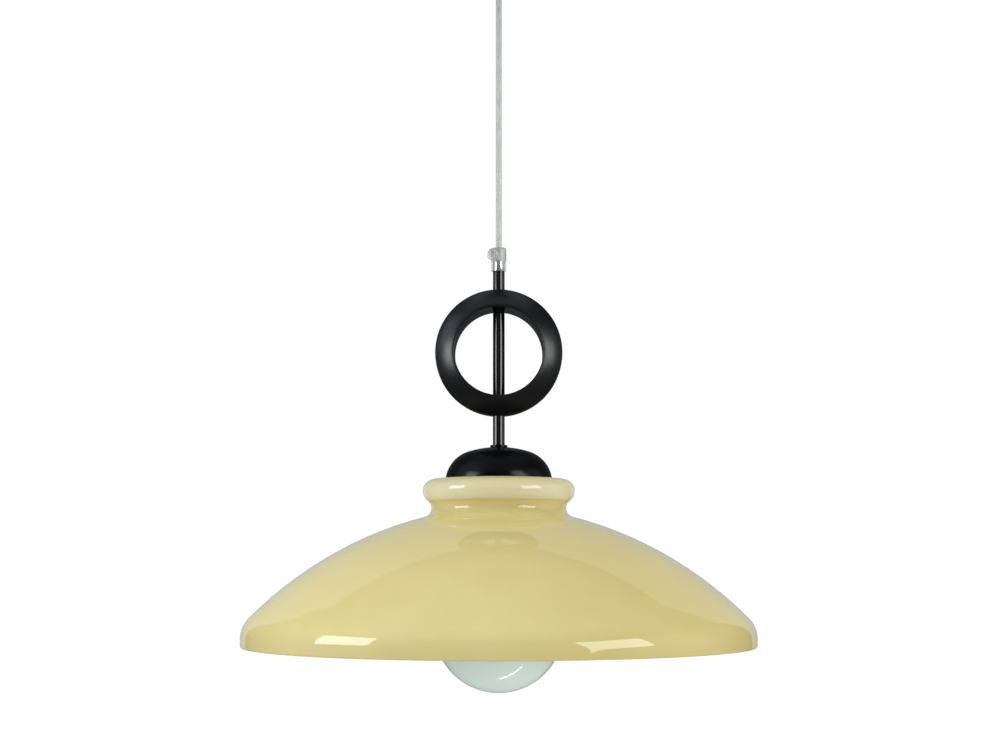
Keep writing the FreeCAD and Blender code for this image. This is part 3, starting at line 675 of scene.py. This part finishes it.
def canopy():
    """The shell, and the trumpet bush in its hole; heights below the ceiling."""
    under, inside, hole = -100, -98.5, 7
    turned("canopy_shell_spun", [
        (hole, under), (48, under), (73, -75, 25, 1), (75, -0.6), (74.6, 0), (73.5, 0), (71.5, -75),
        (48, inside, 23.5, -1), (hole, inside),
    ], "black_paint", "canopy", ["canopy_shell"], low=0, sides=160, fine=3)
    # A little wider than the cord, so that the cord clears it when it swings.
    bore, mouth, top = 2.75, -109, -94
    turned("outlet_bush_moulded", [
        (3.2, OUTLET), (6, mouth, 8, 1), (8, mouth), (11, -103, 6, 1), (11, under), (hole, under),
        (hole, inside), (hole + 0.8, inside), (6, top), (bore, top), (bore, OUTLET),
    ], "black_plastic", "canopy", ["outlet_bush"], low=0, sides=64)


shade = glass_shade()
cap = dome_cap()
stem = stem_and_end()
ring = ring_handle()
cord_grip()
bulb = globe_bulb()
lampholder()
tie_cord(hanging_cord())
canopy()


# ---------------------------------------------------- studio and camera

def stage_plane(name, size, place, colour, rough):
    """A pale plane that the camera sees and the lamp doesn't reflect."""
    mesh = bmesh.new()
    bmesh.ops.create_grid(mesh, x_segments=8, y_segments=8, size=size)
    data = bpy.data.meshes.new(name)
    mesh.to_mesh(data)
    mesh.free()
    f = Finish(name + " finish", Roughness=rough)
    drift = f.cloud(1.5, 2)
    f.drive(Base_Color=f.blend(drift, colour, paint(250, 250, 249)))
    data.materials.append(f.material)
    plane = bpy.data.objects.new(name, data)
    plane.location = place
    for ray in ("diffuse", "glossy", "transmission", "shadow"):
        setattr(plane, "visible_" + ray, False)
    scene.collection.objects.link(plane)
    return plane


def light_only(light, pieces):
    """Keeps a light to the pieces named."""
    lit = bpy.data.collections.new(light.name + "_lights")
    for piece in pieces:
        lit.objects.link(piece)
    light.light_linking.receiver_collection = lit


def soft_box(name, place, aim, wide, high, power, shiny=True, turn=0, colour=(1, 1, 1), only=()):
    """An area lamp in watts; only names the pieces that it lights, or none for all."""
    lamp = bpy.data.lights.new(name, "AREA")
    lamp.shape = "RECTANGLE"
    lamp.size = wide
    lamp.size_y = high
    lamp.energy = power
    lamp.color = colour
    light = bpy.data.objects.new(name, lamp)
    light.location = place
    light.rotation_mode = "QUATERNION"
    face = (Vector(aim) - Vector(place)).to_track_quat("-Z", "Y")
    light.rotation_quaternion = face @ Quaternion((0, 0, 1), math.radians(turn))
    light.visible_camera = False
    light.visible_glossy = shiny
    scene.collection.objects.link(light)
    if only:
        light_only(light, only)


def floor_glow(floor, strength):
    """An even light from above that keeps the floor pale from every side."""
    lamp = bpy.data.lights.new("floor_glow", "SUN")
    lamp.energy = strength
    lamp.angle = math.radians(60)
    light = bpy.data.objects.new("floor_glow", lamp)
    scene.collection.objects.link(light)
    light_only(light, (floor,))


def studio_air():
    """White to the camera; to the lamp, a dark room with pale panels round it."""
    world = bpy.data.worlds.new("studio air")
    scene.world = world
    world.use_nodes = True
    tree = world.node_tree
    tree.nodes.clear()
    place = tree.nodes.new("ShaderNodeTexCoord").outputs["Generated"]

    def background(colour, strength):
        made = tree.nodes.new("ShaderNodeBackground")
        made.inputs[0].default_value = (*colour, 1)
        made.inputs[1].default_value = strength
        return made

    def mixed(factor, first, second):
        made = tree.nodes.new("ShaderNodeMixShader")
        tree.links.new(factor, made.inputs[0])
        tree.links.new(first.outputs[0], made.inputs[1])
        tree.links.new(second.outputs[0], made.inputs[2])
        return made

    def panel(room, toward, edge, full, colour, strength):
        """Adds a soft round panel; edge and full are angles from its middle."""
        aim = tree.nodes.new("ShaderNodeVectorMath")
        aim.operation = "DOT_PRODUCT"
        tree.links.new(place, aim.inputs[0])
        aim.inputs[1].default_value = Vector(toward).normalized()
        fade = tree.nodes.new("ShaderNodeMapRange")
        fade.interpolation_type = "SMOOTHSTEP"
        fade.inputs[1].default_value = math.cos(math.radians(edge))
        fade.inputs[2].default_value = math.cos(math.radians(full))
        tree.links.new(aim.outputs["Value"], fade.inputs[0])
        return mixed(fade.outputs[0], room, background(colour, strength))

    room = background((0.9, 0.95, 1), 0.09)
    room = panel(room, (0, 0, -1), 80, 62, (0.93, 0.96, 1), 0.36)
    room = panel(room, (0, -0.26, 0.97), 55, 25, (0.84, 0.91, 1), 0.36)
    room = panel(room, (-0.85, -0.3, 0.5), 40, 12, (0.7, 0.87, 1), 0.9)
    room = panel(room, (-0.98, -0.17, 0.08), 38, 12, (0.86, 0.95, 1), 0.7)
    room = panel(room, (0.98, -0.17, 0.08), 38, 12, (0.9, 0.96, 1), 0.8)
    path = tree.nodes.new("ShaderNodeLightPath")
    out = tree.nodes.new("ShaderNodeOutputWorld")
    seen = background((1, 1, 1), 1.0)
    tree.links.new(mixed(path.outputs["Is Camera Ray"], room, seen).outputs[0], out.inputs[0])


floor = stage_plane("studio_floor", 6, (0, 0, -2.0), paint(246, 246, 245), 0.6)
floor_glow(floor, 2.0)
studio_air()

# The two windows and the strip below stand where the photograph's highlights
# put them. The fills leave no highlight, and the rest are kept to the pieces
# they are named for, as cards and flags in a studio would do.
TO_LAMP, TO_CAP, TO_RING = (0, 0, -0.62), (0, 0, -0.553), (0, 0, -0.453)
LEFT, RIGHT = (-0.9, -0.44, -0.41), (1.903, -1.638, -0.15)
soft_box("left_window", LEFT, TO_LAMP, 0.48, 0.38, 4.2)
soft_box("right_window", RIGHT, TO_LAMP, 1.4, 1.1, 28, turn=12)
soft_box("low_strip", (0.285, -0.005, -1.7), (0.05, 0.0, -0.7), 0.62, 0.05, 1.0, turn=115,
         only=(bulb,))
soft_box("top_fill", (0.1, -0.5, 1.0), TO_LAMP, 1.4, 1.0, 10.5, shiny=False)
soft_box("floor_fill", (0.0, -0.9, -1.7), TO_LAMP, 1.6, 1.2, 9, shiny=False)
soft_box("left_fill", (-1.8, 0.5, -0.7), TO_LAMP, 1.2, 1.0, 5, shiny=False)
soft_box("right_fill", (1.8, 0.5, -0.7), TO_LAMP, 1.2, 1.0, 5, shiny=False)
soft_box("stem_left", LEFT, TO_LAMP, 0.48, 0.38, 12.0, only=(stem,))
soft_box("cap_left", (-0.93, -0.53, -0.12), TO_CAP, 0.5, 0.2, 2.0, only=(cap,))
soft_box("cap_right", (1.6, -1.7, 0.6), TO_CAP, 1.1, 0.5, 11, only=(cap,))
soft_box("ring_left", (-1.67, -1.1, -0.25), TO_RING, 1.1, 0.78, 72,
         colour=(0.94, 1, 0.98), only=(ring,))
soft_box("ring_right", (1.638, -1.147, -0.21), TO_RING, 1.6, 0.78, 86,
         colour=(0.97, 1, 0.96), only=(ring,))
soft_box("ring_high", (-1.55, -0.4, 0.33), TO_RING, 1.15, 1.15, 18,
         colour=(0.7, 0.87, 1), only=(ring,))
soft_box("ring_top", (0, -0.22, 1.05), TO_RING, 1.6, 1.6, 12,
         colour=(0.82, 0.91, 1), only=(ring,))
soft_box("glass_back", (0, 1.7, 0.1), TO_LAMP, 3.2, 2.6, 12,
         colour=(0.84, 0.93, 1), only=(shade, bulb))

# The camera stands where the photograph's outlines put it.
SENSOR, FOCAL, DISTANCE, ABOVE_RIM, PITCH = 36, 1.54233, 1.3035, 67.3, 5.18
camera = bpy.data.objects.new("camera", bpy.data.cameras.new("camera"))
scene.collection.objects.link(camera)
scene.camera = camera
camera.data.sensor_width = SENSOR
camera.data.lens = SENSOR * FOCAL
camera.location = (0.0, -DISTANCE, (RIM + ABOVE_RIM) * MM)
camera.rotation_mode = "QUATERNION"
pitch = math.radians(PITCH)
camera.rotation_quaternion = Vector((0, math.cos(pitch), math.sin(pitch))).to_track_quat("-Z", "Y")
camera.data.shift_x = 0.0012
camera.data.shift_y = 0.05

scene.view_settings.view_transform = "Standard"
